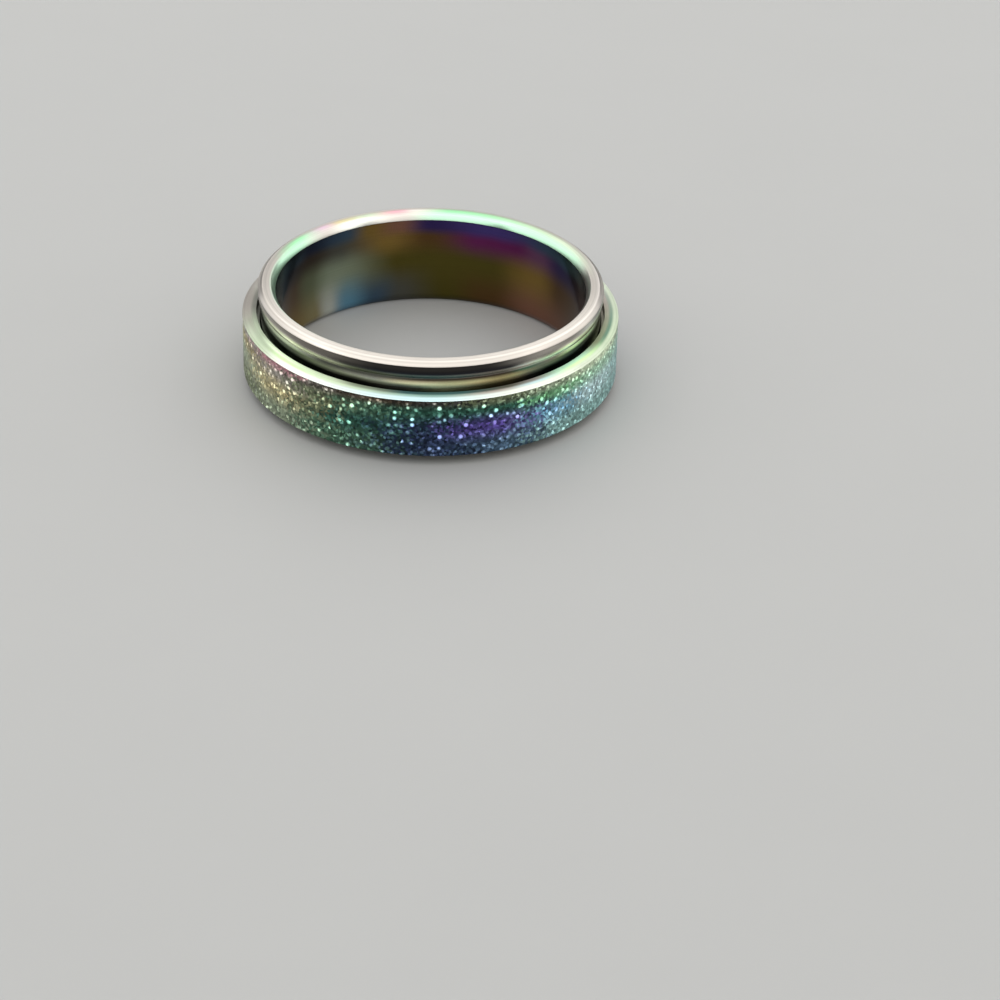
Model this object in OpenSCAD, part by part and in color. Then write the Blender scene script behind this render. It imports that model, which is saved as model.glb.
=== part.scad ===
// Spinner ring: a polished band that goes round the finger, and a loose outer ring that turns on it.
// The ring lies on its side. Its axis runs along +Z and the origin is the centre of its lower rim.
// Sizes are in millimetres. A profile's x is the distance from the axis, and its y is the height.

/* [Inner band] */
// Inside diameter of the band, which sets the finger size
bore_d = 18.2; // [14:0.1:22]
// Width of the band along the finger
band_w = 6.0; // [5.4:0.1:10]
// Thickness of the band's wall behind the spinner
wall_t = 0.9; // [0.8:0.01:1.5]
// Radius of the comfort rounding between the bore and a rim
comfort_r = 1.0; // [0.7:0.05:2]
// How far that rounding reaches across the rim's flat face
comfort_w = 0.27; // [0.15:0.01:0.35]
// How far that rounding reaches down the bore
comfort_h = 0.47; // [0.3:0.01:0.55]

/* [Lips] */
// How far each lip stands out past the band's wall
lip_t = 0.13; // [0.1:0.01:0.3]
// Height of a lip from its rim to the wall that the spinner runs on
lip_h = 1.0; // [0.8:0.05:1.2]
// How far down from the rim the lip starts to round in towards that wall
lip_flat = 0.45; // [0.3:0.01:0.6]
// Outer chamfer of a lip, measured across the rim's flat face
chamfer_w = 0.25; // [0.05:0.01:0.35]
// Outer chamfer of a lip, measured down its outer wall
chamfer_h = 0.2; // [0.05:0.01:0.28]

/* [Spinner] */
// How far each rim stands out past the spinner when the spinner is centred
rim_reveal = 1.1; // [0.8:0.05:1.5]
// Thickness of the spinner outside the lips
spinner_t = 0.82; // [0.5:0.01:1.5]
// Fall of each end face from its inner edge out to the bevel
face_drop = 0.05; // [0.02:0.01:0.1]
// Width of the bevel round the outside of each end face
bevel_w = 0.3; // [0.1:0.01:0.4]
// Fall of that bevel from the end face to the outer face
bevel_h = 0.085; // [0.02:0.005:0.3]

/* [Fits] */
// Gap between a lip and the inner edge of the spinner's end face
lip_gap = 0.1; // [0.08:0.01:0.3]
// Gap between the band's wall and the ridge inside the spinner
run_gap = 0.05; // [0.03:0.01:0.09]
// How far the spinner can slide along the band from its middle, each way
axial_play = 0.65; // [0.3:0.01:0.75]
// Gap left between that ridge and the lower lip, which it rests on
seat_gap = 0.02; // [0.01:0.005:0.05]

/* [Hidden] */
$fn = 180;

bore_r = bore_d / 2;
wall_r = bore_r + wall_t;
lip_r = wall_r + lip_t;

// The comfort rounding is an arc from the bore to the rim's flat face. Its centre lies in the wall, off the
// middle of the straight line between the arc's ends.
comfort_line = sqrt(pow(comfort_w, 2) + pow(comfort_h, 2));
comfort_off = sqrt(pow(comfort_r, 2) - pow(comfort_line / 2, 2));
comfort_x = bore_r + comfort_w / 2 + comfort_off * comfort_h / comfort_line;
comfort_y = comfort_h / 2 + comfort_off * comfort_w / comfort_line;

// The section's shapes overlap by this much past the arc's ends, so that they join without a step.
overlap = 0.02;
core_r = bore_r + comfort_w + overlap;

// A lip's underside is an arc tangent to its outer wall, which reaches the band's wall at the lip's end.
lip_round_h = lip_h - lip_flat;
lip_round_r = (pow(lip_round_h, 2) + pow(lip_t, 2)) / (2 * lip_t);

spinner_w = band_w - 2 * rim_reveal;
spinner_in_r = lip_r + lip_gap;
spinner_out_r = spinner_in_r + spinner_t;
ridge_r = wall_r + run_gap;
ridge_w = band_w - 2 * lip_h - 2 * axial_play;

// The spinner has slid down until its ridge sits on the lower lip.
ridge_low = lip_h + seat_gap;
ridge_high = ridge_low + ridge_w;
spinner_low = (ridge_low + ridge_high - spinner_w) / 2;
spinner_high = spinner_low + spinner_w;

// Repeats a profile at the other end of the band.
module at_both_rims() {
    children();
    translate([0, band_w]) mirror([0, 1]) children();
}

// The section's side next to the finger: the bore's wall with a rounding at its end
module comfort_wall() {
    translate([bore_r, comfort_h + overlap])
        square([core_r - bore_r, band_w / 2 - comfort_h - overlap]);
    intersection() {
        translate([comfort_x, comfort_y]) circle(r = comfort_r);
        translate([bore_r, 0]) square([2 * comfort_w, 2 * comfort_h]);
    }
}

// The section's outer side at a rim: a lip with a chamfered top, a straight wall and a rounded underside
module lip() {
    polygon([
        [core_r, 0],
        [lip_r - chamfer_w, 0],
        [lip_r, chamfer_h],
        [lip_r, lip_flat],
        [core_r, lip_flat],
    ]);
    intersection() {
        translate([lip_r - lip_round_r, lip_flat]) circle(r = lip_round_r);
        translate([core_r, lip_flat]) square([lip_r - core_r, lip_round_h]);
    }
}

module inner_band() {
    color([0.70, 0.80, 0.74])
        rotate_extrude() {
            at_both_rims() {
                comfort_wall();
                lip();
            }
            translate([core_r, lip_h])
                square([wall_r - core_r, band_w - 2 * lip_h]);
        }
}

module spinner() {
    color([0.22, 0.40, 0.38])
        rotate_extrude()
            polygon([
                [spinner_in_r, spinner_low],
                [spinner_out_r - bevel_w, spinner_low + face_drop],
                [spinner_out_r, spinner_low + face_drop + bevel_h],
                [spinner_out_r, spinner_high - face_drop - bevel_h],
                [spinner_out_r - bevel_w, spinner_high - face_drop],
                [spinner_in_r, spinner_high],
                [spinner_in_r, ridge_high],
                [ridge_r, ridge_high],
                [ridge_r, ridge_low],
                [spinner_in_r, ridge_low],
            ]);
}

inner_band();
spinner();
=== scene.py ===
"""Looks of a spinner ring: polished and sandblasted stainless steel, ion-plated in rainbow colours.

The ring lies on its side, with its axis along +Z and its lower rim on the floor. The inner band and the
spinner that turns on it are spun from their own sections, in the places of the two solids of the frame.
The ring's sizes are in millimetres. The studio's are in metres, except where a name ends in mm.
"""

import logging
import math
import random
from collections.abc import Callable, Iterable, Mapping
from dataclasses import dataclass
from enum import Enum
from itertools import pairwise
from typing import Any

import bmesh
import bpy
from mathutils import Matrix, Vector, noise

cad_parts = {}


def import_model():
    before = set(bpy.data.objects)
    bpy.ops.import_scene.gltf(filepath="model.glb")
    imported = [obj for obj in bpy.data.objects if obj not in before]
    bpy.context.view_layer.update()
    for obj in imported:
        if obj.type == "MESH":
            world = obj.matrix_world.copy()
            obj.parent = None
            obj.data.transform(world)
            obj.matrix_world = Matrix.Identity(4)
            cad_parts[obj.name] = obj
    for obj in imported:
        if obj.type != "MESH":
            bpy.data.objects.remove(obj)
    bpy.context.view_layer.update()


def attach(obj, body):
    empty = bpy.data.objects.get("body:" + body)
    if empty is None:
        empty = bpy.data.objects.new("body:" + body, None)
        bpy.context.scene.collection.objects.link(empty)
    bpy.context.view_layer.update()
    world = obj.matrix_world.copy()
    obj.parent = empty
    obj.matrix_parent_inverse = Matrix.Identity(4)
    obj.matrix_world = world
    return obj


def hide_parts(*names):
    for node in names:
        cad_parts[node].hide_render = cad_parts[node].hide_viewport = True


LOG = logging.getLogger("spinner_ring")
MM = 0.001
PER_MM = 1 / MM
IMAGE_PX = 1000
SENSOR_MM = 36.0
QUARTER_TURN = 0.25
SHARP_DEGREES = 8
SMOOTH_DEGREES = 35
WELD_MM = 0.001
ROOM_COLOUR = "f2f4f6"
ROOM_GLOW = 0.12

# A mix node's sockets by index, because those for colours and for vectors share their names.
COLOUR_A, COLOUR_B, MIXED_COLOUR = 6, 7, 2
VECTOR_A, VECTOR_B, MIXED_VECTOR = 4, 5, 1

Corner = tuple[float, float]
Colour = tuple[float, float, float, float]


def linear(hex_colour: str) -> Colour:
    """Turns an sRGB colour to the linear one that a shader takes, with the numbers of the sRGB standard.

    Args:
        hex_colour: Six hex digits, red first.

    Returns:
        Linear red, green and blue, and an alpha of 1.
    """
    channels = [int(hex_colour[i : i + 2], 16) / 255 for i in (0, 2, 4)]
    red, green, blue = (c / 12.92 if c <= 0.04045 else ((c + 0.055) / 1.055) ** 2.4 for c in channels)
    return red, green, blue, 1.0


def add_node(
    tree: bpy.types.NodeTree,
    kind: str,
    settings: Mapping[str, Any] | None = None,
    inputs: Mapping[str | int, Any] | None = None,
) -> bpy.types.Node:
    """Adds a node to a tree, with its settings, values and links.

    Args:
        tree: The node tree of a material or the world.
        kind: The node's Blender type.
        settings: Values of the node's own properties, by name.
        inputs: A value or an output socket for each input, by its name or index.

    Returns:
        The new node.
    """
    node = tree.nodes.new(kind)
    for name, value in (settings or {}).items():
        setattr(node, name, value)
    for key, value in (inputs or {}).items():
        if isinstance(value, bpy.types.NodeSocket):
            tree.links.new(value, node.inputs[key])
        else:
            node.inputs[key].default_value = value
    return node


def new_material(name: str) -> bpy.types.Material:
    """Makes a material.

    Args:
        name: The material's name.

    Returns:
        The material, with an empty node tree.
    """
    material = bpy.data.materials.new(name)
    material.use_nodes = True
    material.node_tree.nodes.clear()
    return material


def add_object(name: str, data: bpy.types.ID) -> bpy.types.Object:
    """Adds an object to the scene.

    Args:
        name: The object's name.
        data: Its mesh, light or camera.

    Returns:
        The new object.
    """
    added = bpy.data.objects.new(name, data)
    bpy.context.scene.collection.objects.link(added)
    return added


class Tint(Enum):
    """The plating's colours and painted shade and highlights in sRGB hex, greys first, then round the rainbow
    from straw to green.
    """

    BLACK = "121512"
    SOOT = "26262a"
    COAL = "383634"
    SMOKE = "484a44"
    LEAD = "5c5c54"
    PEWTER = "7a756e"
    STEEL = "8f8a84"
    BRUSHED = "a29c94"
    SILVER = "b4aea6"
    PEARL = "d4d6cc"
    WHITE = "fff8ec"
    CREAM = "f0d8b0"
    STRAW = "c8bc90"
    SAND = "a0946c"
    GOLD = "90743c"
    OLIVE = "5a5224"
    BRONZE = "62482a"
    UMBER = "443a30"
    COPPER = "906654"
    ROSE = "b4828a"
    MAUVE = "a48c98"
    ORCHID = "784e70"
    PLUM = "702c60"
    VIOLET = "54468a"
    INDIGO = "3c3064"
    DUSK = "5c5c8c"
    NIGHT = "28324a"
    SLATE = "4a6074"
    SKY = "70a2bc"
    MIST = "8cb2ae"
    ICE = "bcd6d8"
    TEAL = "365c60"
    PINE = "305448"
    FERN = "4c6c58"
    MOSS = "70785c"
    SAGE = "98a48c"
    LEAF = "70aa7a"
    MINT = "a8ceb2"
    LIME = "c0dca4"
    FROST = "dceccc"


Stop = tuple[float, Tint]


class Across(Enum):
    """The way across a turned face, which the lathe's fine lines and the film's courses are stacked along."""

    RIM = "radius"
    WALL = "height"


@dataclass(frozen=True)
class FilmAndPaintedLightCourse:
    """The plating's colours along one circle round the ring, as its thickness drifts, and on some finishes
    painted reflections, highlights and shade as well.

    The circle's place is a radius on a rim and a height on a wall. A stop's place is a share of a turn,
    anticlockwise from above: 0 is the -X side, 0.25 the front at -Y, 0.5 the +X side and 0.75 the back. The
    last stretch leads back to the first stop.
    """

    place_mm: float
    stops: tuple[Stop, ...]

    def colour(self, tree: bpy.types.NodeTree, turn: bpy.types.NodeSocket) -> bpy.types.NodeSocket:
        """Adds the circle's colours to a material.

        Args:
            tree: The material's node tree.
            turn: The place round the ring, from 0 to 1.

        Returns:
            The colour at that place.
        """
        ramp = add_node(tree, "ShaderNodeValToRGB", inputs={"Fac": turn})
        ramp.color_ramp.interpolation = "EASE"
        elements = ramp.color_ramp.elements
        start, end = elements
        start.position, end.position = 0.0, 1.0
        start.color = end.color = linear(self.stops[0][1].value)
        for place, tint in self.stops[1:]:
            elements.new(place).color = linear(tint.value)
        return ramp.outputs["Color"]


def film_and_painted_light_colour(
    tree: bpy.types.NodeTree,
    courses: tuple[FilmAndPaintedLightCourse, ...],
    turn: bpy.types.NodeSocket,
    across: bpy.types.NodeSocket,
) -> bpy.types.NodeSocket:
    """Adds the plating's colours, with any painted reflections, highlights and shade, which blend from each
    course to the next across a face.

    Args:
        tree: The material's node tree.
        courses: The film's courses, with the lowest place first.
        turn: The place round the ring, from 0 to 1.
        across: The place across the face, in metres.

    Returns:
        The film's colour, with any painted light.
    """
    colour = courses[0].colour(tree, turn)
    for before, course in pairwise(courses):
        share = add_node(
            tree,
            "ShaderNodeMapRange",
            {"interpolation_type": "SMOOTHSTEP"},
            {"Value": across, "From Min": before.place_mm * MM, "From Max": course.place_mm * MM},
        )
        blend = add_node(
            tree,
            "ShaderNodeMix",
            {"data_type": "RGBA"},
            {"Factor": share.outputs[0], COLOUR_A: colour, COLOUR_B: course.colour(tree, turn)},
        )
        colour = blend.outputs[MIXED_COLOUR]
    return colour


@dataclass(frozen=True)
class RingPlaces:
    """Sockets that say where on the ring a point of a material lies."""

    point: bpy.types.NodeSocket
    turn: bpy.types.NodeSocket
    radius: bpy.types.NodeSocket
    height: bpy.types.NodeSocket
    along: bpy.types.NodeSocket

    def across(self, way: Across) -> bpy.types.NodeSocket:
        """Gives the place across a face."""
        return self.radius if way is Across.RIM else self.height

    @classmethod
    def add(cls, tree: bpy.types.NodeTree, drift: float, drift_mm: float) -> "RingPlaces":
        """Adds the nodes that find a point's place, with the circle's colours drifting a little.

        Args:
            tree: The material's node tree.
            drift: How far a colour wanders round the ring, as a share of a turn.
            drift_mm: The size of the patches that wander together.

        Returns:
            The sockets, with radius and height in metres, and along as the direction that the ring turns in.
        """
        point = add_node(tree, "ShaderNodeTexCoord").outputs["Object"]
        axes = add_node(tree, "ShaderNodeSeparateXYZ", inputs={0: point}).outputs
        angle = add_node(tree, "ShaderNodeMath", {"operation": "ARCTAN2"}, {0: axes["Y"], 1: axes["X"]})
        plain = add_node(
            tree,
            "ShaderNodeMath",
            {"operation": "MULTIPLY_ADD"},
            {0: angle.outputs[0], 1: 1 / math.tau, 2: 0.5 - drift / 2},
        )
        patches = add_node(tree, "ShaderNodeTexNoise", inputs={"Vector": point, "Scale": PER_MM / drift_mm})
        wandered = add_node(
            tree,
            "ShaderNodeMath",
            {"operation": "MULTIPLY_ADD"},
            {0: patches.outputs["Fac"], 1: drift, 2: plain.outputs[0]},
        )
        turn = add_node(tree, "ShaderNodeMath", {"operation": "FRACT"}, {0: wandered.outputs[0]})
        flat = add_node(tree, "ShaderNodeCombineXYZ", inputs={"X": axes["X"], "Y": axes["Y"]})
        radius = add_node(tree, "ShaderNodeVectorMath", {"operation": "LENGTH"}, {0: flat.outputs[0]})
        tangent = add_node(
            tree, "ShaderNodeVectorMath", {"operation": "CROSS_PRODUCT"}, {0: (0, 0, 1), 1: point}
        )
        along = add_node(
            tree,
            "ShaderNodeVectorTransform",
            {"vector_type": "VECTOR", "convert_from": "OBJECT", "convert_to": "WORLD"},
            {0: tangent.outputs[0]},
        )
        return cls(point, turn.outputs[0], radius.outputs["Value"], axes["Z"], along.outputs[0])


@dataclass(frozen=True)
class RainbowPolish:
    """Stainless steel, lathe turned, mirror polished and ion-plated with a thin titanium film.

    It gives the eye a clear mirror whose tint changes as the film's thickness drifts, with a few hair lines
    left by the lathe. On some faces the courses also hold painted reflections, highlights and shade. The
    lines are line_mm apart, which is coarser than real ones, so that they show, and mirror images spread
    across them by the share spread. They follow a noise that is rough by line_rough, are darkest where it is
    under line_low and gone where it is over line_high. The film's colours wander round the ring by the share
    drift, in patches of drift_mm, and its courses sway by sway_mm across the face.
    """

    name: str
    across: Across
    courses: tuple[FilmAndPaintedLightCourse, ...]
    line_mm: float = 0.09
    line_shade: float = 0.16
    line_rough: float = 0.7
    line_low: float = 0.3
    line_high: float = 0.55
    line_relief: float = 0.25
    line_depth_mm: float = 0.002
    roughness: float = 0.3
    smear_mm: float = 1.5
    smear_low: float = 0.8
    smear_high: float = 1.25
    spread: float = 0.75
    drift: float = 0.02
    drift_mm: float = 3.0
    sway_mm: float = 0.0
    sway_patch_mm: float = 4.0

    def build(self) -> bpy.types.Material:
        """Makes the material.

        Returns:
            The material, which reads Object coordinates.
        """
        material = new_material(self.name)
        tree = material.node_tree
        places = RingPlaces.add(tree, self.drift, self.drift_mm)
        across = places.across(self.across)
        film = film_and_painted_light_colour(tree, self.courses, places.turn, self.swaying(tree, places.point, across))
        stacked = add_node(
            tree, "ShaderNodeMath", {"operation": "MULTIPLY"}, {0: across, 1: PER_MM / self.line_mm}
        )
        hair = add_node(
            tree,
            "ShaderNodeTexNoise",
            {"noise_dimensions": "1D"},
            {"W": stacked.outputs[0], "Scale": 1.0, "Detail": 3.0, "Roughness": self.line_rough},
        )
        shade = add_node(
            tree,
            "ShaderNodeMapRange",
            inputs={
                "Value": hair.outputs["Fac"],
                "From Min": self.line_low,
                "From Max": self.line_high,
                "To Min": 1 - self.line_shade,
            },
        )
        lined = add_node(
            tree,
            "ShaderNodeMix",
            {"data_type": "RGBA", "blend_type": "MULTIPLY"},
            {"Factor": 1.0, COLOUR_A: film, COLOUR_B: shade.outputs[0]},
        )
        smears = add_node(
            tree,
            "ShaderNodeTexNoise",
            inputs={"Vector": places.point, "Scale": PER_MM / self.smear_mm, "Detail": 4.0},
        )
        gloss = add_node(
            tree,
            "ShaderNodeMapRange",
            inputs={
                "Value": smears.outputs["Fac"],
                "To Min": self.roughness * self.smear_low,
                "To Max": self.roughness * self.smear_high,
            },
        )
        relief = add_node(
            tree,
            "ShaderNodeBump",
            inputs={
                "Height": hair.outputs["Fac"],
                "Strength": self.line_relief,
                "Distance": self.line_depth_mm * MM,
            },
        )
        shader = add_node(
            tree,
            "ShaderNodeBsdfPrincipled",
            inputs={
                "Base Color": lined.outputs[MIXED_COLOUR],
                "Metallic": 1.0,
                "Roughness": gloss.outputs[0],
                "Anisotropic": self.spread,
                "Anisotropic Rotation": QUARTER_TURN,
                "Tangent": places.along,
                "Normal": relief.outputs[0],
            },
        )
        add_node(tree, "ShaderNodeOutputMaterial", inputs={"Surface": shader.outputs[0]})
        return material

    def swaying(
        self, tree: bpy.types.NodeTree, point: bpy.types.NodeSocket, across: bpy.types.NodeSocket
    ) -> bpy.types.NodeSocket:
        """Adds a slow sway to the place across a face, so that the film's courses aren't level.

        Args:
            tree: The material's node tree.
            point: The point's coordinates.
            across: The place across the face.

        Returns:
            The place with its sway.
        """
        scale = PER_MM / self.sway_patch_mm
        waves = add_node(tree, "ShaderNodeTexNoise", inputs={"Vector": point, "Scale": scale})
        level = add_node(
            tree, "ShaderNodeMath", {"operation": "ADD"}, {0: across, 1: -self.sway_mm * MM / 2}
        )
        swayed = add_node(
            tree,
            "ShaderNodeMath",
            {"operation": "MULTIPLY_ADD"},
            {0: waves.outputs["Fac"], 1: self.sway_mm * MM, 2: level.outputs[0]},
        )
        return swayed.outputs[0]


@dataclass(frozen=True)
class RainbowSandblast:
    """Stainless steel, blasted with coarse grit and ion-plated in rainbow colours.

    It gives the eye a dark coloured frost of fine grains. Here and there a larger pit is a small round
    mirror, tinted by the film, that catches the light from above, and its colour is painted pale as a painted
    glint. Each grain leans its own way by up to half of tilt, is up to shade lighter or darker, and takes its
    colour up to grain_drift further round the ring.
    The pits' lean grows from low_lean at low_mm to high_lean at high_mm, and none is above pit_top_mm.
    """

    name: str
    courses: tuple[FilmAndPaintedLightCourse, ...]
    grain_mm: float = 0.15
    tilt: float = 0.8
    roughness: float = 0.4
    shade: float = 0.38
    drift: float = 0.03
    drift_mm: float = 1.2
    grain_drift: float = 0.04
    pit_mm: float = 0.37
    pit_share: float = 0.74
    pit_middle: float = 0.18
    pit_edge: float = 0.5
    pit_top_mm: float = 4.06
    low_mm: float = 1.0
    low_lean: float = 0.32
    high_mm: float = 3.4
    high_lean: float = 0.9
    # The pits' painted glint colour, which takes the film's hue.
    glint_paint: str = "bac6c2"
    tint: float = 0.85

    def build(self) -> bpy.types.Material:
        """Makes the material.

        Returns:
            The material, which reads Object coordinates.
        """
        material = new_material(self.name)
        tree = material.node_tree
        places = RingPlaces.add(tree, self.drift, self.drift_mm)
        grains = add_node(
            tree, "ShaderNodeTexVoronoi", inputs={"Vector": places.point, "Scale": PER_MM / self.grain_mm}
        )
        chance = add_node(tree, "ShaderNodeSeparateColor", inputs={0: grains.outputs["Color"]}).outputs
        film = self.film(tree, places, chance["Red"])
        pits = self.pits(tree, places)
        depth = add_node(
            tree,
            "ShaderNodeMapRange",
            inputs={"Value": chance["Green"], "To Min": 1 - self.shade, "To Max": 1 + self.shade},
        )
        shaded = add_node(
            tree,
            "ShaderNodeMix",
            {"data_type": "RGBA", "blend_type": "MULTIPLY", "clamp_result": True},
            {"Factor": 1.0, COLOUR_A: film, COLOUR_B: depth.outputs[0]},
        )
        # Painted glint: the pits' colour is a pale grey in the film's hue.
        painted_glint = add_node(
            tree,
            "ShaderNodeMix",
            {"data_type": "RGBA", "blend_type": "COLOR"},
            {"Factor": self.tint, COLOUR_A: linear(self.glint_paint), COLOUR_B: film},
        )
        grain = add_node(
            tree,
            "ShaderNodeMix",
            {"data_type": "RGBA"},
            {"Factor": pits, COLOUR_A: shaded.outputs[MIXED_COLOUR], COLOUR_B: painted_glint.outputs[MIXED_COLOUR]},
        )
        gloss = add_node(
            tree,
            "ShaderNodeMapRange",
            inputs={"Value": pits, "To Min": self.roughness, "To Max": self.roughness / 2},
        )
        shader = add_node(
            tree,
            "ShaderNodeBsdfPrincipled",
            inputs={
                "Base Color": grain.outputs[MIXED_COLOUR],
                "Metallic": 1.0,
                "Roughness": gloss.outputs[0],
                "Normal": self.facets(tree, grains.outputs["Position"], pits, places.height),
            },
        )
        add_node(tree, "ShaderNodeOutputMaterial", inputs={"Surface": shader.outputs[0]})
        return material

    def film(
        self, tree: bpy.types.NodeTree, places: RingPlaces, chance: bpy.types.NodeSocket
    ) -> bpy.types.NodeSocket:
        """Adds the plating's colours, with each grain a little off its neighbours.

        Args:
            tree: The material's node tree.
            places: The point's place on the ring.
            chance: The grain's random number, from 0 to 1.

        Returns:
            The film's colour.
        """
        shifted = add_node(
            tree,
            "ShaderNodeMath",
            {"operation": "MULTIPLY_ADD"},
            {0: chance, 1: self.grain_drift, 2: places.turn},
        )
        turn = add_node(tree, "ShaderNodeMath", {"operation": "FRACT"}, {0: shifted.outputs[0]}).outputs[0]
        return film_and_painted_light_colour(tree, self.courses, turn, places.height)

    def pits(self, tree: bpy.types.NodeTree, places: RingPlaces) -> bpy.types.NodeSocket:
        """Adds the larger pits, round and most of them faint, with none at the face's upper edge.

        Args:
            tree: The material's node tree.
            places: The point's place on the ring.

        Returns:
            How much of a pit there is, from 0 to 1.
        """
        spots = add_node(
            tree, "ShaderNodeTexVoronoi", inputs={"Vector": places.point, "Scale": PER_MM / self.pit_mm}
        )
        chance = add_node(tree, "ShaderNodeSeparateColor", inputs={0: spots.outputs["Color"]}).outputs
        strength = add_node(
            tree,
            "ShaderNodeMapRange",
            {"interpolation_type": "SMOOTHSTEP"},
            {"Value": chance["Blue"], "From Min": 1 - self.pit_share, "From Max": 1.0},
        )
        disc = add_node(
            tree,
            "ShaderNodeMapRange",
            {"interpolation_type": "SMOOTHSTEP"},
            {"Value": spots.outputs["Distance"], "From Min": self.pit_edge, "From Max": self.pit_middle},
        )
        pit = add_node(
            tree, "ShaderNodeMath", {"operation": "MULTIPLY"}, {0: strength.outputs[0], 1: disc.outputs[0]}
        )
        top = self.pit_top_mm * MM
        below = add_node(
            tree,
            "ShaderNodeMapRange",
            inputs={"Value": places.height, "From Min": top, "From Max": top - self.grain_mm * MM},
        )
        kept = add_node(
            tree, "ShaderNodeMath", {"operation": "MULTIPLY"}, {0: pit.outputs[0], 1: below.outputs[0]}
        )
        return kept.outputs[0]

    def facets(
        self,
        tree: bpy.types.NodeTree,
        grain: bpy.types.NodeSocket,
        pits: bpy.types.NodeSocket,
        height: bpy.types.NodeSocket,
    ) -> bpy.types.NodeSocket:
        """Adds a facet on each grain that leans its own way, and leans the pits upwards.

        Args:
            tree: The material's node tree.
            grain: The grain's middle.
            pits: How much of a pit there is.
            height: The height above the floor, in metres.

        Returns:
            The facet's normal.
        """
        lean = add_node(tree, "ShaderNodeTexWhiteNoise", inputs={"Vector": grain})
        centred = add_node(
            tree,
            "ShaderNodeVectorMath",
            {"operation": "SUBTRACT"},
            {0: lean.outputs["Color"], 1: (0.5, 0.5, 0.5)},
        )
        tilted = add_node(
            tree,
            "ShaderNodeVectorMath",
            {"operation": "MULTIPLY"},
            {0: centred.outputs[0], 1: (self.tilt,) * 3},
        )
        lift = add_node(
            tree,
            "ShaderNodeMapRange",
            inputs={
                "Value": height,
                "From Min": self.low_mm * MM,
                "From Max": self.high_mm * MM,
                "To Min": self.low_lean,
                "To Max": self.high_lean,
            },
        )
        raised = add_node(tree, "ShaderNodeCombineXYZ", inputs={"Z": lift.outputs[0]})
        chosen = add_node(
            tree,
            "ShaderNodeMix",
            {"data_type": "VECTOR"},
            {"Factor": pits, VECTOR_A: tilted.outputs[0], VECTOR_B: raised.outputs[0]},
        )
        turned = add_node(
            tree,
            "ShaderNodeVectorTransform",
            {"vector_type": "VECTOR", "convert_from": "OBJECT", "convert_to": "WORLD"},
            {0: chosen.outputs[MIXED_VECTOR]},
        )
        surface = add_node(tree, "ShaderNodeNewGeometry").outputs["Normal"]
        leaned = add_node(
            tree, "ShaderNodeVectorMath", {"operation": "ADD"}, {0: turned.outputs[0], 1: surface}
        )
        facet = add_node(tree, "ShaderNodeVectorMath", {"operation": "NORMALIZE"}, {0: leaned.outputs[0]})
        return facet.outputs[0]


class Section:
    """A turned part's section, drawn as one closed outline of radius and height, and spun round the axis."""

    def __init__(self) -> None:
        """Starts an empty section."""
        self.bm = bmesh.new()
        self.first: bmesh.types.BMVert | None = None
        self.last: bmesh.types.BMVert | None = None

    def line_to(self, radius: float, height: float) -> "Section":
        """Draws a straight side.

        Args:
            radius: The side's end, in millimetres from the axis.
            height: The side's end, in millimetres above the floor.

        Returns:
            The section.
        """
        vert = self.bm.verts.new((radius * MM, 0, height * MM))
        if self.last:
            self.bm.edges.new((self.last, vert))
        self.first = self.first or vert
        self.last = vert
        return self

    def rows_to(self, radius: float, height: float, rows: int) -> "Section":
        """Draws a straight side in equal rows.

        Args:
            radius: The side's end, in millimetres from the axis.
            height: The side's end, in millimetres above the floor.
            rows: The number of rows.

        Returns:
            The section.
        """
        start = self.last.co * PER_MM
        for row in range(1, rows + 1):
            share = row / rows
            self.line_to(start.x + (radius - start.x) * share, start.z + (height - start.z) * share)
        return self

    def arc(self, centre: Corner, degrees: float, steps: int) -> "Section":
        """Draws an arc on from the last corner.

        Args:
            centre: The arc's centre, as radius and height.
            degrees: How far it turns, positive from the outside towards the top.
            steps: The number of straight pieces.

        Returns:
            The section.
        """
        turned = bmesh.ops.spin(
            self.bm,
            geom=[self.last],
            cent=(centre[0] * MM, 0, centre[1] * MM),
            axis=(0, -1, 0),
            dvec=(0, 0, 0),
            angle=math.radians(degrees),
            steps=steps,
            use_merge=False,
        )
        self.last = next(g for g in turned["geom_last"] if isinstance(g, bmesh.types.BMVert))
        return self

    def spin(self, steps: int) -> bmesh.types.BMesh:
        """Closes the outline and spins it all the way round.

        Args:
            steps: The number of steps in the turn.

        Returns:
            The closed ring, with its faces pointing out.
        """
        self.bm.edges.new((self.last, self.first))
        bmesh.ops.spin(
            self.bm,
            geom=[*self.bm.verts, *self.bm.edges],
            cent=(0, 0, 0),
            axis=(0, 0, 1),
            dvec=(0, 0, 0),
            angle=math.tau,
            steps=steps,
            use_merge=True,
        )
        bmesh.ops.recalc_face_normals(self.bm, faces=self.bm.faces)
        return self.bm


def break_edges(bm: bmesh.types.BMesh, width_mm: float) -> None:
    """Rounds each edge that turns by more than SHARP_DEGREES, as polishing does, and makes the part smooth.

    Args:
        bm: The part.
        width_mm: How far the rounding reaches from the edge.
    """
    sharp = [e for e in bm.edges if e.calc_face_angle(0) > math.radians(SHARP_DEGREES)]
    bmesh.ops.bevel(
        bm,
        geom=sharp,
        offset=width_mm * MM,
        offset_type="OFFSET",
        segments=3,
        profile=0.5,
        affect="EDGES",
        material=-1,
        clamp_overlap=True,
    )
    for face in bm.faces:
        face.smooth = True


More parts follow.
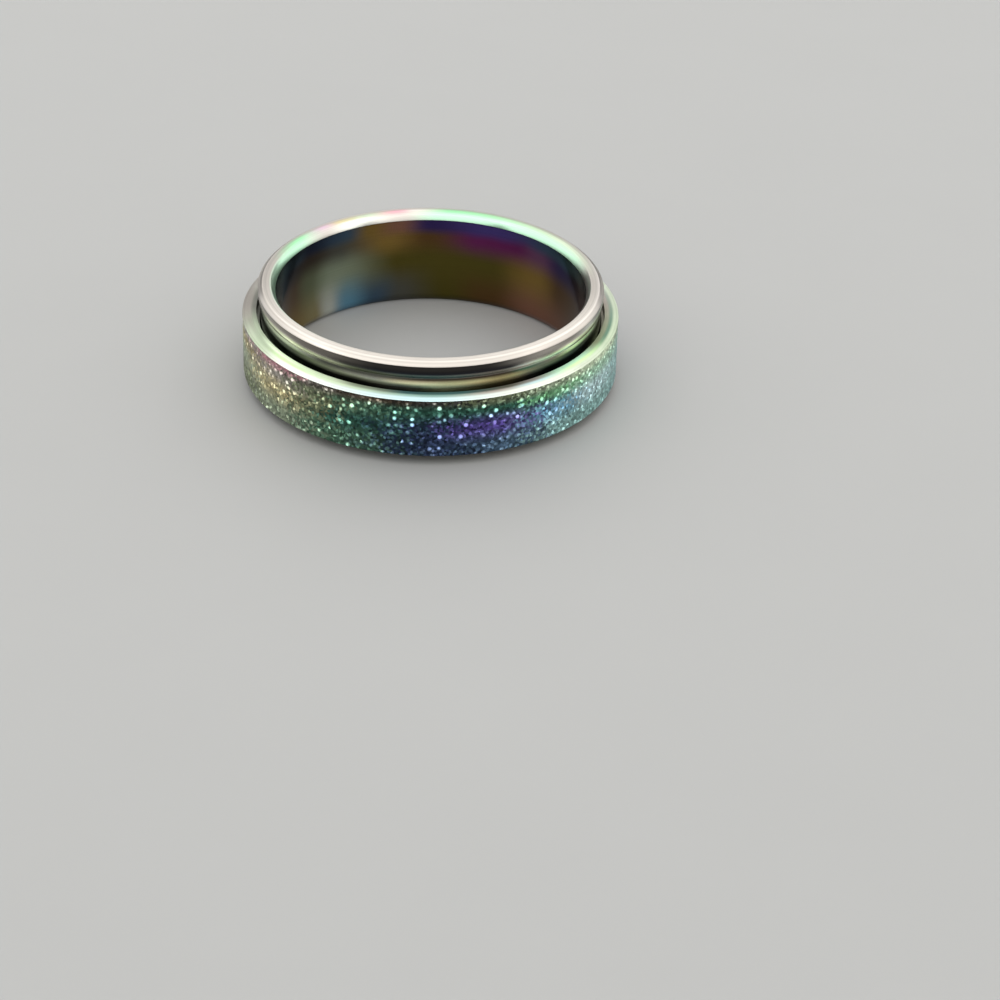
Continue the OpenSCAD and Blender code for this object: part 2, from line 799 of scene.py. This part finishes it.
def finished_piece(
    name: str,
    bm: bmesh.types.BMesh,
    materials: Iterable[bpy.types.Material],
    choose: Callable[[bmesh.types.BMFace], int],
) -> bpy.types.Object:
    """Turns a bmesh to an object at the origin, smooth but for its corners, with each face's own finish.

    Args:
        name: The piece's name.
        bm: The finished mesh, which is freed. Faces that it has flat stay flat.
        materials: The piece's finishes.
        choose: Gives the index of a face's finish.

    Returns:
        The new object.
    """
    for face in bm.faces:
        face.material_index = choose(face)
    mesh = bpy.data.meshes.new(name)
    bm.to_mesh(mesh)
    bm.free()
    for material in materials:
        mesh.materials.append(material)
    mesh.set_sharp_from_angle(angle=math.radians(SMOOTH_DEGREES))
    piece = add_object(name, mesh)
    weighted = piece.modifiers.new("even_normals", "WEIGHTED_NORMAL")
    weighted.keep_sharp = True
    return piece


@dataclass(frozen=True)
class InnerBand:
    """The polished band that goes round the finger, with a lip at each rim.

    A lip is straight up to lip_flat from its rim and then rounds in to the wall. The comfort rounding reaches
    comfort_w along the rim and comfort_h up the bore.
    """

    bore_r: float = 9.1
    wall_r: float = 10.0
    width: float = 6.0
    lip_t: float = 0.13
    lip_h: float = 1.0
    lip_flat: float = 0.45
    chamfer_w: float = 0.25
    chamfer_h: float = 0.2
    comfort_r: float = 1.0
    comfort_w: float = 0.27
    comfort_h: float = 0.47
    edge_break: float = 0.02
    steps: int = 288
    arc_steps: int = 8

    def build(self) -> bpy.types.Object:
        """Makes the band.

        Returns:
            The band, in the place of its solid.
        """
        lip_r = self.wall_r + self.lip_t
        round_h = self.lip_h - self.lip_flat
        round_r = (round_h**2 + self.lip_t**2) / (2 * self.lip_t)
        round_turn = math.degrees(math.asin(round_h / round_r))
        across = math.hypot(self.comfort_w, self.comfort_h)
        off = math.sqrt(self.comfort_r**2 - (across / 2) ** 2)
        comfort_x = self.bore_r + self.comfort_w / 2 + off * self.comfort_h / across
        comfort_y = self.comfort_h / 2 + off * self.comfort_w / across
        comfort_turn = 2 * math.degrees(math.asin(across / 2 / self.comfort_r))
        top = self.width
        section = Section()
        section.line_to(self.bore_r, top - self.comfort_h).line_to(self.bore_r, self.comfort_h)
        section.arc((comfort_x, comfort_y), comfort_turn, self.arc_steps)
        section.line_to(lip_r - self.chamfer_w, 0).line_to(lip_r, self.chamfer_h)
        section.line_to(lip_r, self.lip_flat)
        section.arc((lip_r - round_r, self.lip_flat), round_turn, self.arc_steps)
        section.line_to(self.wall_r, top - self.lip_h)
        section.arc((lip_r - round_r, top - self.lip_flat), round_turn, self.arc_steps)
        section.line_to(lip_r, top - self.chamfer_h).line_to(lip_r - self.chamfer_w, top)
        section.line_to(self.bore_r + self.comfort_w, top)
        section.arc((comfort_x, top - comfort_y), comfort_turn, self.arc_steps)
        bm = section.spin(self.steps)
        bmesh.ops.remove_doubles(bm, verts=bm.verts, dist=WELD_MM * MM)
        break_edges(bm, self.edge_break)
        return finished_piece("band", bm, [f.build() for f in (RIM, NECK, BORE)], self.zone)

    def zone(self, face: bmesh.types.BMFace) -> int:
        """Gives the finish of one of the band's faces.

        Args:
            face: A face of the band.

        Returns:
            0 on the rims and the upper comfort rounding, 1 on the outer walls and 2 in the bore.
        """
        centre = face.calc_center_median() * PER_MM
        radius = math.hypot(centre.x, centre.y)
        if radius < self.bore_r + self.comfort_w:
            return 0 if centre.z > self.width - self.comfort_h else 2
        from_rim = min(centre.z, self.width - centre.z)
        return 1 if from_rim > self.chamfer_h + self.edge_break else 0


@dataclass(frozen=True)
class Spinner:
    """The loose outer ring: polished end faces, and a face that is sandblasted all the way round.

    At rest its lower end is at low. The points of the sandblasted face move by up to the share jitter of
    their spacing, and sink by grit_depth times the size of a slow swell plus a random grain.
    """

    low: float = 0.47
    width: float = 3.8
    ridge_r: float = 10.05
    in_r: float = 10.23
    out_r: float = 11.05
    ridge_w: float = 2.7
    face_drop: float = 0.05
    bevel_w: float = 0.3
    bevel_h: float = 0.085
    edge_break: float = 0.02
    steps: int = 640
    face_skin: float = 0.2
    edge_margin: float = 1.5
    grit_rows: int = 34
    grit_depth: float = 0.04
    jitter: float = 0.36
    swell_mm: float = 0.28
    swell_share: float = 0.9
    grain_share: float = 0.5
    seed: int = 8

    @property
    def end_fall(self) -> float:
        """How far an end face falls from its inner edge to the sandblasted face."""
        return self.face_drop + self.bevel_h

    def build(self) -> bpy.types.Object:
        """Makes the spinner.

        Returns:
            The spinner, in the place of its solid.
        """
        high = self.low + self.width
        ridge_low = self.low + (self.width - self.ridge_w) / 2
        ridge_high = ridge_low + self.ridge_w
        section = Section()
        section.line_to(self.ridge_r, ridge_high).line_to(self.ridge_r, ridge_low)
        section.line_to(self.in_r, ridge_low).line_to(self.in_r, self.low)
        section.line_to(self.out_r - self.bevel_w, self.low + self.face_drop)
        section.line_to(self.out_r, self.low + self.end_fall)
        section.rows_to(self.out_r, high - self.end_fall, self.grit_rows)
        section.line_to(self.out_r - self.bevel_w, high - self.face_drop).line_to(self.in_r, high)
        section.line_to(self.in_r, ridge_high)
        bm = section.spin(self.steps)
        break_edges(bm, self.edge_break)
        self.sandblast(bm)
        return finished_piece("spinner_ring", bm, [f.build() for f in (SPINNER_ENDS, GRIT)], self.zone)

    def on_face(self, point: Vector) -> bool:
        """Says whether a point lies on the sandblasted face.

        Args:
            point: A point of the spinner, in metres.

        Returns:
            True inside the face's edges.
        """
        radius, height = math.hypot(point.x, point.y) * PER_MM, point.z * PER_MM
        inside = self.end_fall + self.edge_break * self.edge_margin
        level = self.low + inside < height < self.low + self.width - inside
        return level and radius > self.out_r - self.face_skin

    def sandblast(self, bm: bmesh.types.BMesh) -> None:
        """Pits the outer face at random, in small flat facets.

        Args:
            bm: The spinner, with its outer face in fine rows.
        """
        chance = random.Random(self.seed)
        row = (self.width - 2 * self.end_fall) / self.grit_rows
        column = math.tau / self.steps
        for vert in bm.verts:
            if not self.on_face(vert.co):
                continue
            angle = math.atan2(vert.co.y, vert.co.x) + chance.uniform(-self.jitter, self.jitter) * column
            height = vert.co.z * PER_MM + chance.uniform(-self.jitter, self.jitter) * row
            swell = self.swell_share * noise.noise(vert.co * PER_MM / self.swell_mm)
            grain = chance.uniform(-self.grain_share, self.grain_share)
            radius = self.out_r - self.grit_depth * abs(swell + grain)
            vert.co = Vector((radius * math.cos(angle), radius * math.sin(angle), height)) * MM
        grains = [f for f in bm.faces if self.on_face(f.calc_center_median())]
        for face in grains:
            face.smooth = False
        bmesh.ops.triangulate(bm, faces=grains, quad_method="BEAUTY")

    def zone(self, face: bmesh.types.BMFace) -> int:
        """Gives the finish of one of the spinner's faces.

        Args:
            face: A face of the spinner.

        Returns:
            1 on the sandblasted face and on its lower edge, which takes that darker finish as painted shade,
            and 0 elsewhere.
        """
        centre = face.calc_center_median() * PER_MM
        radius = math.hypot(centre.x, centre.y)
        # Painted shade: the rounded lower edge takes the sandblasted finish's darker colours, for the shade
        # under the spinner.
        lower_edge = radius > self.out_r - 2 * self.edge_break and centre.z < self.low + self.width / 2
        return 1 if lower_edge or not face.smooth else 0


@dataclass(frozen=True)
class Softbox:
    """A flat soft light that looks at the ring, with the same glow whatever its size."""

    name: str
    azimuth: float
    elevation: float
    distance: float
    width: float
    height: float
    glow: float

    def build(self) -> bpy.types.Object:
        """Makes the light.

        Returns:
            The light. Its azimuth is 0 behind the ring at +Y and 90 at its +X side.
        """
        lamp = bpy.data.lights.new(self.name, "AREA")
        lamp.shape = "RECTANGLE"
        lamp.size, lamp.size_y = self.width, self.height
        lamp.energy = self.glow * math.pi * self.width * self.height
        light = add_object(self.name, lamp)
        around, up = math.radians(self.azimuth), math.radians(self.elevation)
        away = Vector((math.sin(around) * math.cos(up), math.cos(around) * math.cos(up), math.sin(up)))
        light.location = away * self.distance
        light.rotation_euler = away.to_track_quat("Z", "Y").to_euler()
        light.visible_camera = False
        return light


@dataclass(frozen=True)
class PaleBoard:
    """Smooth matte laminate, which gives the eye an even pale ground with a faint mottle."""

    hex_colour: str = "7e7e7c"
    side: float = 3.0
    mottle_mm: float = 9.0
    mottle_detail: float = 5.0
    mottle_shade: float = 0.03
    roughness: float = 0.7

    def build(self) -> bpy.types.Object:
        """Makes the floor.

        Returns:
            The floor, which isn't part of the ring.
        """
        material = new_material("pale_laminate")
        tree = material.node_tree
        point = add_node(tree, "ShaderNodeTexCoord").outputs["Object"]
        mottle = add_node(
            tree,
            "ShaderNodeTexNoise",
            inputs={"Vector": point, "Scale": PER_MM / self.mottle_mm, "Detail": self.mottle_detail},
        )
        shade = add_node(
            tree,
            "ShaderNodeMapRange",
            inputs={"Value": mottle.outputs["Fac"], "To Min": 1 - self.mottle_shade, "To Max": 1.0},
        )
        tint = add_node(
            tree,
            "ShaderNodeMix",
            {"data_type": "RGBA", "blend_type": "MULTIPLY"},
            {"Factor": 1.0, COLOUR_A: linear(self.hex_colour), COLOUR_B: shade.outputs[0]},
        )
        shader = add_node(
            tree,
            "ShaderNodeBsdfPrincipled",
            inputs={"Base Color": tint.outputs[MIXED_COLOUR], "Roughness": self.roughness},
        )
        add_node(tree, "ShaderNodeOutputMaterial", inputs={"Surface": shader.outputs[0]})
        bm = bmesh.new()
        bmesh.ops.create_grid(bm, x_segments=4, y_segments=4, size=self.side / 2)
        mesh = bpy.data.meshes.new("floor")
        bm.to_mesh(mesh)
        bm.free()
        mesh.materials.append(material)
        return add_object("floor", mesh)


@dataclass(frozen=True)
class PhotoCamera:
    """The camera at the photograph's angle to the ring.

    The ring's floor centre lies right_mm and down_mm from the middle of the view, at distance_mm along it.
    """

    pitch: float = 31.18
    roll: float = -1.56
    focal_px: float = 3000.0
    right_mm: float = -4.17
    down_mm: float = -7.68
    distance_mm: float = 178.7
    near: float = 0.01
    far: float = 10.0

    def build(self) -> bpy.types.Object:
        """Makes the camera and sets it as the scene's.

        Returns:
            The camera.
        """
        lens = bpy.data.cameras.new("camera")
        lens.sensor_width = SENSOR_MM
        lens.lens = self.focal_px / IMAGE_PX * SENSOR_MM
        lens.clip_start, lens.clip_end = self.near, self.far
        camera = add_object("camera", lens)
        pitch, roll = math.radians(self.pitch), math.radians(self.roll)
        forward = Vector((0, math.cos(pitch), -math.sin(pitch)))
        level = Vector((1, 0, 0))
        drop = forward.cross(level)
        right = math.cos(roll) * level + math.sin(roll) * drop
        down = math.cos(roll) * drop - math.sin(roll) * level
        eye = -(self.right_mm * right + self.down_mm * down + self.distance_mm * forward) * MM
        turned = Matrix((right, -down, -forward)).transposed().to_4x4()
        camera.matrix_world = Matrix.Translation(eye) @ turned
        bpy.context.scene.camera = camera
        return camera


RIM = RainbowPolish(
    name="polished_plated_rim",
    across=Across.RIM,
    courses=(
        FilmAndPaintedLightCourse(
            9.17,
            (
                (0.00, Tint.MINT), (0.25, Tint.STEEL), (0.52, Tint.STEEL), (0.58, Tint.MINT),
                (0.75, Tint.MINT), (0.785, Tint.SILVER), (0.84, Tint.PEARL), (0.875, Tint.SILVER),
                (0.92, Tint.MINT),
            ),
        ),
        FilmAndPaintedLightCourse(
            9.5,
            (
                (0.00, Tint.PEWTER), (0.14, Tint.BRUSHED), (0.36, Tint.BRUSHED), (0.51, Tint.PEWTER),
                (0.60, Tint.SAGE), (0.735, Tint.LEAF), (0.775, Tint.SILVER), (0.792, Tint.ROSE),
                (0.82, Tint.SAGE), (0.855, Tint.SAND), (0.875, Tint.MAUVE), (0.91, Tint.LEAF),
                (0.965, Tint.PEWTER),
            ),
        ),
        FilmAndPaintedLightCourse(
            9.9,
            (
                (0.00, Tint.PEWTER), (0.14, Tint.SILVER), (0.38, Tint.SILVER), (0.50, Tint.STEEL),
                (0.60, Tint.PEWTER), (0.84, Tint.STEEL), (0.93, Tint.PEWTER),
            ),
        ),
        FilmAndPaintedLightCourse(
            10.04,
            (
                (0.00, Tint.SILVER), (0.04, Tint.STEEL), (0.14, Tint.SILVER), (0.42, Tint.BRUSHED),
                (0.46, Tint.STEEL), (0.50, Tint.SILVER), (0.56, Tint.PEWTER),
            ),
        ),
    ),
    line_mm=0.2,
    line_shade=0.26,
)

# The lips and the wall carry painted light over the film. Nearly black at the front of the lips is a painted
# dark reflection, and black just above the spinner at the front left and front right is painted shadow in the
# gap.
# Nearly white on either side is a painted highlight, and the wall under the lip is a painted reflection in
# pale gold at the front, of the spinner's end face that it mirrors there.
NECK = RainbowPolish(
    name="polished_plated_neck",
    across=Across.WALL,
    courses=(
        FilmAndPaintedLightCourse(
            4.45,
            (
                (0.00, Tint.COAL), (0.10, Tint.BLACK), (0.18, Tint.COAL), (0.225, Tint.PEWTER),
                (0.265, Tint.CREAM), (0.31, Tint.SAND), (0.355, Tint.SMOKE), (0.37, Tint.BLACK),
                (0.43, Tint.SOOT), (0.46, Tint.MOSS), (0.75, Tint.LEAD),
            ),
        ),
        FilmAndPaintedLightCourse(
            4.68,
            (
                (0.00, Tint.COAL), (0.09, Tint.BLACK), (0.15, Tint.LEAD), (0.20, Tint.STEEL),
                (0.24, Tint.CREAM), (0.285, Tint.STRAW), (0.32, Tint.SAND), (0.37, Tint.LEAD),
                (0.42, Tint.BLACK), (0.44, Tint.BLACK), (0.47, Tint.SMOKE), (0.75, Tint.SAND),
            ),
        ),
        FilmAndPaintedLightCourse(
            4.92,
            (
                (0.00, Tint.SMOKE), (0.04, Tint.COAL), (0.09, Tint.PEARL), (0.15, Tint.SMOKE),
                (0.21, Tint.LEAD), (0.26, Tint.UMBER), (0.32, Tint.UMBER), (0.345, Tint.FERN),
                (0.375, Tint.PEWTER), (0.41, Tint.FROST), (0.44, Tint.FROST), (0.465, Tint.SMOKE),
            ),
        ),
        FilmAndPaintedLightCourse(
            5.08,
            (
                (0.00, Tint.LEAD), (0.04, Tint.LEAD), (0.075, Tint.WHITE), (0.11, Tint.WHITE),
                (0.15, Tint.BRUSHED), (0.19, Tint.LEAD), (0.25, Tint.STEEL), (0.32, Tint.SILVER),
                (0.345, Tint.WHITE), (0.43, Tint.WHITE), (0.46, Tint.LEAD),
            ),
        ),
        FilmAndPaintedLightCourse(
            5.3,
            (
                (0.00, Tint.LEAD), (0.04, Tint.LEAD), (0.08, Tint.WHITE), (0.10, Tint.WHITE),
                (0.13, Tint.STEEL), (0.18, Tint.COAL), (0.21, Tint.SOOT), (0.325, Tint.SOOT),
                (0.35, Tint.BRUSHED), (0.37, Tint.STEEL), (0.40, Tint.WHITE), (0.43, Tint.WHITE),
                (0.47, Tint.PEWTER),
            ),
        ),
        FilmAndPaintedLightCourse(
            5.62,
            (
                (0.00, Tint.PEWTER), (0.07, Tint.BRUSHED), (0.15, Tint.PEWTER), (0.21, Tint.COAL),
                (0.30, Tint.COAL), (0.37, Tint.SILVER), (0.40, Tint.BRUSHED), (0.43, Tint.PEARL),
                (0.46, Tint.PEWTER), (0.60, Tint.LEAD),
            ),
        ),
    ),
    roughness=0.2,
    spread=0.6,
)

# Dark olive and umber in the bore, painted darker than the film as painted shade for the dim floor that it
# mirrors, with a pale streak, a painted reflection, and a blue one at the back left, copper and gold to the
# right, and violet and plum under the rim at the back right.
BORE = RainbowPolish(
    name="polished_plated_bore",
    across=Across.WALL,
    courses=(
        FilmAndPaintedLightCourse(
            0.55,
            (
                (0.00, Tint.PEWTER), (0.25, Tint.STEEL), (0.50, Tint.LEAD), (0.635, Tint.COPPER),
                (0.69, Tint.BRONZE), (0.74, Tint.OLIVE), (0.79, Tint.LEAD), (0.82, Tint.SLATE),
                (0.85, Tint.SKY), (0.875, Tint.PEARL), (0.90, Tint.SAND), (0.94, Tint.GOLD),
            ),
        ),
        FilmAndPaintedLightCourse(
            2.9,
            (
                (0.00, Tint.UMBER), (0.25, Tint.PEWTER), (0.50, Tint.UMBER), (0.59, Tint.BRONZE),
                (0.63, Tint.GOLD), (0.69, Tint.OLIVE), (0.79, Tint.OLIVE), (0.87, Tint.SAGE),
                (0.905, Tint.MOSS), (0.94, Tint.BRONZE),
            ),
        ),
        FilmAndPaintedLightCourse(
            4.4,
            (
                (0.00, Tint.NIGHT), (0.25, Tint.LEAD), (0.50, Tint.SOOT), (0.59, Tint.INDIGO),
                (0.63, Tint.ORCHID), (0.66, Tint.PLUM), (0.70, Tint.PLUM), (0.76, Tint.BRONZE),
                (0.80, Tint.GOLD), (0.86, Tint.LEAD), (0.90, Tint.UMBER),
            ),
        ),
        FilmAndPaintedLightCourse(
            5.15,
            (
                (0.00, Tint.TEAL), (0.25, Tint.SMOKE), (0.50, Tint.TEAL), (0.565, Tint.SKY),
                (0.60, Tint.SLATE), (0.68, Tint.VIOLET), (0.76, Tint.INDIGO), (0.79, Tint.COPPER),
                (0.82, Tint.GOLD), (0.85, Tint.SLATE), (0.90, Tint.NIGHT), (0.93, Tint.SLATE),
            ),
        ),
    ),
    line_shade=0.1,
    roughness=0.16,
    sway_mm=0.7,
)

# Lime at the left of the spinner's end faces, a cool mist at the front and mint to the right, darker towards
# either side as painted shade. The inner edge is a dark teal at the front, painted shade under the lip, and
# the bevel is pale.
SPINNER_ENDS = RainbowPolish(
    name="polished_plated_end_face",
    across=Across.RIM,
    courses=(
        FilmAndPaintedLightCourse(
            10.4,
            (
                (0.00, Tint.LEAD), (0.055, Tint.SAGE), (0.10, Tint.FROST), (0.16, Tint.FROST),
                (0.19, Tint.SAGE), (0.24, Tint.TEAL), (0.28, Tint.TEAL), (0.32, Tint.LEAD),
                (0.35, Tint.STEEL), (0.38, Tint.MINT), (0.405, Tint.MINT), (0.44, Tint.MOSS),
                (0.64, Tint.MAUVE), (0.76, Tint.SAGE),
            ),
        ),
        FilmAndPaintedLightCourse(
            10.62,
            (
                (0.00, Tint.PEWTER), (0.08, Tint.SAGE), (0.115, Tint.LIME), (0.16, Tint.FROST),
                (0.26, Tint.MIST), (0.31, Tint.SILVER), (0.35, Tint.ICE), (0.40, Tint.LIME),
                (0.46, Tint.FERN), (0.64, Tint.SILVER), (0.76, Tint.MINT),
            ),
        ),
        FilmAndPaintedLightCourse(
            10.82,
            (
                (0.00, Tint.PEWTER), (0.08, Tint.SAGE), (0.13, Tint.PEARL), (0.25, Tint.ICE),
                (0.33, Tint.PEARL), (0.45, Tint.SAGE), (0.75, Tint.PEARL),
            ),
        ),
    ),
    roughness=0.5,
)

# Sage, straw and rose at the left, then pine, night blue and violet at the front, and sky and mint at the
# right. The sides are painted lighter than the front, a painted sheen where the grains catch grazing light.
GRIT = RainbowSandblast(
    name="sandblasted_plated_face",
    courses=(
        FilmAndPaintedLightCourse(
            1.1,
            (
                (0.00, Tint.MOSS), (0.07, Tint.MOSS), (0.12, Tint.SAGE), (0.19, Tint.FERN),
                (0.27, Tint.NIGHT), (0.35, Tint.SLATE), (0.395, Tint.MIST), (0.45, Tint.MIST),
                (0.68, Tint.DUSK), (0.85, Tint.MOSS),
            ),
        ),
        FilmAndPaintedLightCourse(
            2.4,
            (
                (0.00, Tint.SAGE), (0.06, Tint.SAGE), (0.12, Tint.STRAW), (0.165, Tint.MOSS),
                (0.20, Tint.PINE), (0.275, Tint.NIGHT), (0.32, Tint.VIOLET), (0.35, Tint.DUSK),
                (0.385, Tint.SKY), (0.44, Tint.ICE), (0.50, Tint.MIST), (0.68, Tint.DUSK),
                (0.85, Tint.MOSS),
            ),
        ),
        FilmAndPaintedLightCourse(
            3.4,
            (
                (0.00, Tint.SAGE), (0.06, Tint.SAND), (0.13, Tint.BRUSHED), (0.17, Tint.MOSS),
                (0.22, Tint.FERN), (0.26, Tint.PINE), (0.345, Tint.PINE), (0.385, Tint.LEAF),
                (0.43, Tint.MINT), (0.66, Tint.DUSK), (0.85, Tint.PEWTER),
            ),
        ),
        FilmAndPaintedLightCourse(
            4.0,
            (
                (0.00, Tint.SAGE), (0.07, Tint.BRUSHED), (0.13, Tint.ROSE), (0.165, Tint.PEWTER),
                (0.22, Tint.UMBER), (0.29, Tint.COAL), (0.33, Tint.MOSS), (0.37, Tint.SAGE),
                (0.45, Tint.FROST), (0.52, Tint.SAGE), (0.70, Tint.DUSK), (0.86, Tint.PEWTER),
            ),
        ),
    ),
)

SOFTBOXES = (
    Softbox("back_softbox", azimuth=0, elevation=37, distance=0.5, width=0.7, height=0.4, glow=2.6),
    Softbox("left_softbox", azimuth=-82, elevation=26, distance=0.5, width=0.9, height=0.46, glow=2.1),
    Softbox("right_softbox", azimuth=82, elevation=26, distance=0.5, width=0.9, height=0.46, glow=2.1),
    Softbox("top_softbox", azimuth=180, elevation=80, distance=0.5, width=1.0, height=0.8, glow=2.2),
    Softbox("front_softbox", azimuth=180, elevation=25, distance=0.5, width=0.9, height=0.44, glow=1.8),
)


def light_room() -> None:
    """Fills the room with an even soft light."""
    world = bpy.data.worlds.new("studio")
    bpy.context.scene.world = world
    world.use_nodes = True
    tree = world.node_tree
    tree.nodes.clear()
    glow = add_node(
        tree, "ShaderNodeBackground", inputs={"Color": linear(ROOM_COLOUR), "Strength": ROOM_GLOW}
    )
    add_node(tree, "ShaderNodeOutputWorld", inputs={"Surface": glow.outputs[0]})


def main() -> None:
    """Builds the ring's two parts, the floor, the lights and the camera."""
    logging.basicConfig(level=logging.INFO, format="%(message)s")
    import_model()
    bpy.context.scene.view_settings.view_transform = "Standard"
    PhotoCamera().build()

    band = InnerBand().build()
    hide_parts("inner_band")
    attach(band, "band")
    LOG.info("inner band: %d faces", len(band.data.polygons))

    spinner = Spinner().build()
    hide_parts("spinner")
    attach(spinner, "outer_ring")
    LOG.info("spinner: %d faces", len(spinner.data.polygons))

    PaleBoard().build()
    for softbox in SOFTBOXES:
        softbox.build()
    light_room()


if __name__ == "__main__":
    main()
